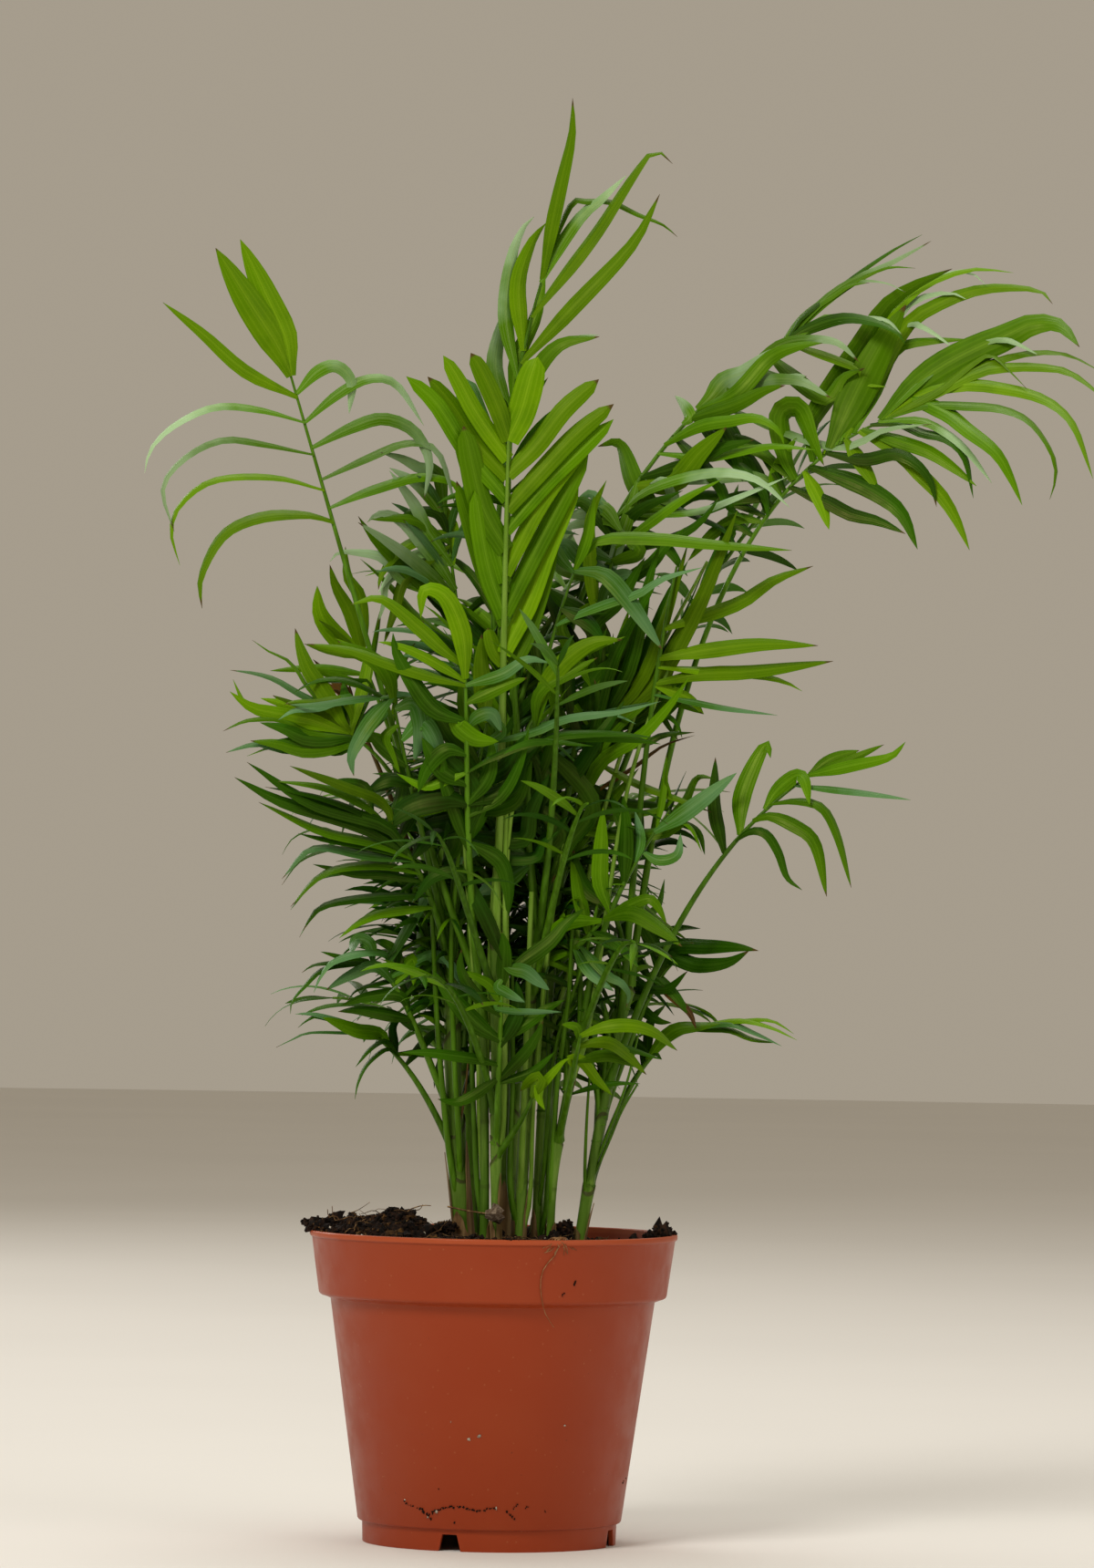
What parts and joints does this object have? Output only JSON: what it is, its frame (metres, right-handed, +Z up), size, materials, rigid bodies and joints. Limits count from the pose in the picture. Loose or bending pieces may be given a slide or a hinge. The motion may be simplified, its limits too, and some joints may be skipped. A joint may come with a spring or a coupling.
{
  "type": "potted parlour palm",
  "caption": "Parlour palm in a round plastic nursery pot: a clump of thin green canes with arching feathered fronds over dark compost.",
  "frame": {"origin": "on the ground under the middle of the pot's flat underside", "axes": "+Z up, along the pot's axis; +X towards the side that the longest fronds sweep to; -Y is the front"},
  "size_m": [0.3208, 0.2287, 0.4713],
  "materials": {
    "pot": "terracotta-coloured moulded plastic with a satin surface, fine scuffs and specks of compost",
    "soil": "dark brown moist peat compost with fibres, crumbs and white grit",
    "cane": "smooth pale green cane with ring scars and papery brown sheaths at the foot",
    "leaf": "deep green leaf with fine lengthwise veins, a soft gloss and a blue-grey bloom where it arches",
    "bright_leaf": "young yellow-green leaf with fine lengthwise veins and a soft gloss",
    "dry_leaf": "dry brown leaf, dull and curled"
  },
  "bodies": {
    "root": {"cane_back": "cane", "cane_back_left": "cane", "cane_back_right": "cane", "cane_core": "cane", "cane_far_back": "cane", "cane_front": "cane", "cane_left": "cane", "cane_left_thin": "cane", "cane_middle": "cane", "cane_middle_right": "cane", "cane_right": "cane", "cane_right_thin": "cane", "frond_back_high_1": "leaf", "frond_back_high_2": "leaf", "frond_back_high_3": "leaf", "frond_back_low_1": "leaf", "frond_back_low_2": "leaf", "frond_back_low_3": "leaf", "frond_back_low_4": "leaf", "frond_back_low_5": "leaf", "frond_back_mid_1": "leaf", "frond_back_mid_2": "leaf", "frond_back_mid_3": "leaf", "frond_back_mid_4": "leaf", "frond_behind_fan": "leaf", "frond_dry": "dry_leaf", "frond_front_fan": "bright_leaf", "frond_front_high": "leaf", "frond_front_left": "leaf", "frond_front_low_left": "leaf", "frond_front_low_right": "leaf", "frond_front_right": "leaf", "frond_heart_left": "leaf", "frond_left_arch": "leaf", "frond_left_dark": "leaf", "frond_left_droop": "leaf", "frond_left_fan": "bright_leaf", "frond_left_foot_high": "leaf", "frond_left_foot_low": "leaf", "frond_left_shade": "leaf", "frond_left_upright": "bright_leaf", "frond_right_crown": "leaf", "frond_right_foot_dark": "leaf", "frond_right_foot_fan": "leaf", "frond_right_foot_front": "leaf", "frond_right_inner": "leaf", "frond_right_level": "leaf", "frond_right_low": "leaf", "frond_right_shade": "leaf", "frond_right_side": "leaf", "frond_right_sweep": "leaf", "frond_sprout": "bright_leaf", "frond_top": "bright_leaf", "leaves_inner_left": "leaf", "leaves_inner_right": "leaf", "pot": "pot", "soil": "soil"}
  },
  "joints": []
}
